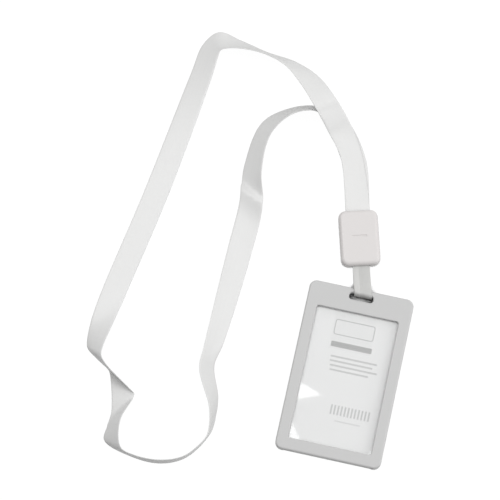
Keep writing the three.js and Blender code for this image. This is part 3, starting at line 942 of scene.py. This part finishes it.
def strap_line():
    """Middle line of the strap from its front end, round the bar, to its back end."""
    front = STRAP_MIDDLE + STRAP_LAYER
    back = STRAP_MIDDLE - STRAP_LAYER
    line = slope((STRAP_END, front), (STRAP_IN_MOUTH, front), HELD_STEPS)
    line += slope((STRAP_IN_MOUTH, front), (STRAP_PAST_BAR, STRAP_OVER), OPEN_STEPS)
    line += dip_points()
    line += slope((STRAP_PAST_BAR, STRAP_UNDER), (STRAP_IN_MOUTH, back), OPEN_STEPS)
    line += slope((STRAP_IN_MOUTH, back), (STRAP_END, back), HELD_STEPS)
    kept = [line[0]]
    for point in line[1:]:
        if math.dist(point, kept[-1]) > STRAP_LEAST_STEP:
            kept.append(point)
    return kept


def strap_stations():
    """Every station of the strap: its place in the strap's plane and its outward way."""
    line = strap_line()
    stations = []
    for i, (v, z) in enumerate(line):
        before, after = line[max(i - 1, 0)], line[min(i + 1, len(line) - 1)]
        length = math.dist(before, after)
        out_v = -(after[1] - before[1]) / length
        out_z = (after[0] - before[0]) / length
        stations.append((v, z, out_v, out_z))
    return stations


def strap_profile():
    """Cross-section of the strap with soft corners and two shallow grooves on its face."""
    half = STRAP_WIDTH / 2
    thick = STRAP_THICKNESS / 2
    flat_half = half - STRAP_CORNER
    top = [(-flat_half, thick)]
    for first_side, middle, second_side, depth in STRAP_GROOVES:
        top += [(first_side, thick), (middle, thick - depth), (second_side, thick)]
    top.append((flat_half, thick))
    bottom = [(flat_half, -thick), (-flat_half, -thick)]
    return closed_profile(top, bottom, half, (half - STRAP_CUT_BACK, thick - STRAP_CUT_BACK))


def on_strap(across, v, z):
    """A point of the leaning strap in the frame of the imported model, in metres."""
    side = Vector((math.cos(STRAP_LEAN), math.sin(STRAP_LEAN), 0))
    up = Vector((-math.sin(STRAP_LEAN), math.cos(STRAP_LEAN), 0))
    foot = Vector((SLOT_CENTRE[0], SLOT_CENTRE[1], 0))
    return (foot + side * across + up * v + Vector((0, 0, z))) * MM


def strap_run(stations):
    """One run of the strap as a band, closed where its end is free."""
    profile = strap_profile()
    rings = []
    for v, z, out_v, out_z in stations:
        ring = []
        for side, layer in profile:
            ring.append(on_strap(side, v - out_v * layer + skew(side, v), z - out_z * layer))
        rings.append(ring)
    along = [station[0] for station in stations]
    across = [side for side, layer in profile]
    ends = [end for end in (0, -1) if along[end] >= STRAP_END]
    return rings, along, across, ends


def strap_piece(name, runs, material):
    """A piece of the strap made of runs of its stations."""
    mesh = band_mesh(name, [strap_run(run) for run in runs])
    piece = new_piece(name, mesh, material)
    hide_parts("strap_loop")
    return piece


def cut_post_hole(strap, side):
    """Cuts the round hole for one post through both layers of the strap."""
    work = bmesh.new()
    bmesh.ops.create_cone(
        work,
        cap_ends=True,
        segments=STRAP_HOLE_SIDES,
        radius1=STRAP_HOLE * MM,
        radius2=STRAP_HOLE * MM,
        depth=STRAP_HOLE_DEPTH * MM,
    )
    place = on_strap(side * STRAP_HOLE_SIDE, STRAP_HOLE_PLACE, STRAP_MIDDLE)
    bmesh.ops.translate(work, verts=work.verts, vec=place)
    cutter = place_object("post_hole", mesh_of(work, "post_hole"))
    cut = strap.modifiers.new("post_hole", "BOOLEAN")
    cut.object = cutter
    cut.operation = "DIFFERENCE"
    cut.solver = "EXACT"
    settle(strap)
    bpy.data.objects.remove(cutter)


def make_strap():
    """The strap in two pieces: one at the clasp, the other at the slot."""
    stations = strap_stations()
    low = [i for i, station in enumerate(stations) if station[0] < STRAP_PARTING]
    first, last = low[0], low[-1]
    material = soft_strap()
    upper = strap_piece("strap_at_clasp", [stations[: first + 1], stations[last:]], material)
    lower = strap_piece("strap_at_slot", [stations[first : last + 1]], material)
    for side in (-1, 1):
        cut_post_hole(upper, side)
    for piece in (upper, lower):
        shade_softly(piece, STRAP_SHARP)
    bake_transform(upper)
    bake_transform(lower)


# Camera, light and table


def look(thing, place, aim):
    """Puts a camera or lamp in a place and turns it to look at a point."""
    thing.location = place
    thing.rotation_euler = (Vector(aim) - Vector(place)).to_track_quat("-Z", "Y").to_euler()


def make_camera():
    """The camera at the photograph's place and lens."""
    camera = place_object("camera", bpy.data.cameras.new("camera"))
    look(camera, Vector(CAMERA_PLACE) * MM, Vector(CAMERA_AIM) * MM)
    camera.data.lens = CAMERA_LENS
    camera.data.sensor_width = CAMERA_SENSOR
    camera.data.clip_start = CAMERA_NEAR
    camera.data.clip_end = CAMERA_FAR
    bpy.context.scene.camera = camera


def make_lamp(name, place, size, power):
    """A square soft lamp that looks at the object."""
    lamp = place_object(name, bpy.data.lights.new(name, "AREA"))
    look(lamp, place, LAMP_AIM)
    lamp.data.shape = "SQUARE"
    lamp.data.size = size
    lamp.data.energy = power
    lamp.visible_transmission = False


def seen_directly(tree):
    """1 for rays of the camera, a gloss or a clear piece before any diffuse bounce, else 0."""
    rays = node(tree, "ShaderNodeLightPath").outputs
    gloss = maths(tree, "MAXIMUM", rays["Is Glossy Ray"], rays["Is Transmission Ray"])
    seen = maths(tree, "MAXIMUM", rays["Is Camera Ray"], gloss)
    unscattered = maths(tree, "LESS_THAN", rays["Diffuse Depth"], 0.5)
    return maths(tree, "MULTIPLY", seen, unscattered)


def make_world():
    """Pale room light, strongest from above and beyond the clasp, and white where it is seen."""
    world = bpy.data.worlds.new("pale_room")
    world.use_nodes = True
    tree = world.node_tree
    tree.nodes.clear()
    way = node(tree, "ShaderNodeTexCoord").outputs["Generated"]
    facing = measured(tree, "DOT_PRODUCT", way, ROOM_LIGHT_FROM)
    uneven = maths(tree, "MULTIPLY_ADD", facing, ROOM_CONTRAST, ROOM_LEVEL)
    room = maths(tree, "MAXIMUM", uneven, ROOM_LEAST)
    to_white = maths(tree, "MULTIPLY", seen_directly(tree), maths(tree, "SUBTRACT", 1.0, room))
    strength = maths(tree, "ADD", room, to_white)
    back = node(tree, "ShaderNodeBackground", {"Color": WHITE, "Strength": strength})
    node(tree, "ShaderNodeOutputWorld", {"Surface": back.outputs[0]})
    bpy.context.scene.world = world


def glow_with_painted_crevice_shade(tree):
    """Strength of the table's glow, darkened deep in narrow gaps as painted shade."""
    slot = (SLOT_CENTRE[0] * MM, SLOT_CENTRE[1] * MM, 0.0)
    from_slot = measured(tree, "DISTANCE", place_on_piece(tree), slot)
    reach = ranged(tree, from_slot, SLOT_NEAR, SLOT_FAR, SLOT_SHADE_REACH, PAINTED_SHADE_REACH)
    # Ambient occlusion paints shade into the glow, in the slot and round what lies on the table.
    openness = node(
        tree, "ShaderNodeAmbientOcclusion", {"Distance": reach}, samples=PAINTED_SHADE_SAMPLES
    ).outputs["AO"]
    return ranged(tree, openness, PAINTED_SHADE_SHUT, PAINTED_SHADE_OPEN, 0.0, TABLE_GLOW)


def white_table():
    """White where it is seen, with a faint real shadow of what lies on it and painted shade in
    narrow gaps.
    """
    material, tree = bare_material("white_table")
    bounce = node(tree, "ShaderNodeBsdfDiffuse", {"Color": TABLE_BOUNCE})
    shaded = node(tree, "ShaderNodeBsdfDiffuse", {"Color": WHITE})
    glow = node(tree, "ShaderNodeEmission", {"Color": WHITE, "Strength": glow_with_painted_crevice_shade(tree)})
    shown = blend_surfaces(tree, GLOW_SHARE, shaded, glow)
    surface = blend_surfaces(tree, seen_directly(tree), bounce, shown)
    node(tree, "ShaderNodeOutputMaterial", {"Surface": surface.outputs[0]})
    return material


def make_table():
    """The flat table that the object lies on."""
    work = bmesh.new()
    bmesh.ops.create_grid(
        work, x_segments=TABLE_SQUARES, y_segments=TABLE_SQUARES, size=TABLE_HALF
    )
    table = place_object("table", mesh_of(work, "table"))
    table.data.materials.append(white_table())


make_camera()
make_world()
make_table()
for lamp_name, (place, size, power) in LAMPS.items():
    make_lamp(lamp_name, place, size, power)

make_ribbon()
make_strap()

frame_plastic = moulded_plastic("frame_plastic")
drawer_plastic = moulded_plastic("drawer_plastic")
clasp_plastic = moulded_plastic("clasp_plastic")

fine_edged("holder_frame", "front_frame", "holder", frame_plastic, edge=0.18)
fine_edged("holder_drawer", "drawer", "drawer", drawer_plastic, edge=0.15)
fine_edged("card", "id_card", "drawer", printed_card(), edge=0.08)
fine_edged("pane", "window_pane", "holder", clear_pane(), edge=0.1)
fine_edged("clasp_upper", "clasp_front", "lanyard", clasp_plastic, edge=0.12)
fine_edged("clasp_lower", "clasp_back", "lanyard", clasp_plastic, edge=0.12)

bpy.context.scene.view_settings.view_transform = "Standard"
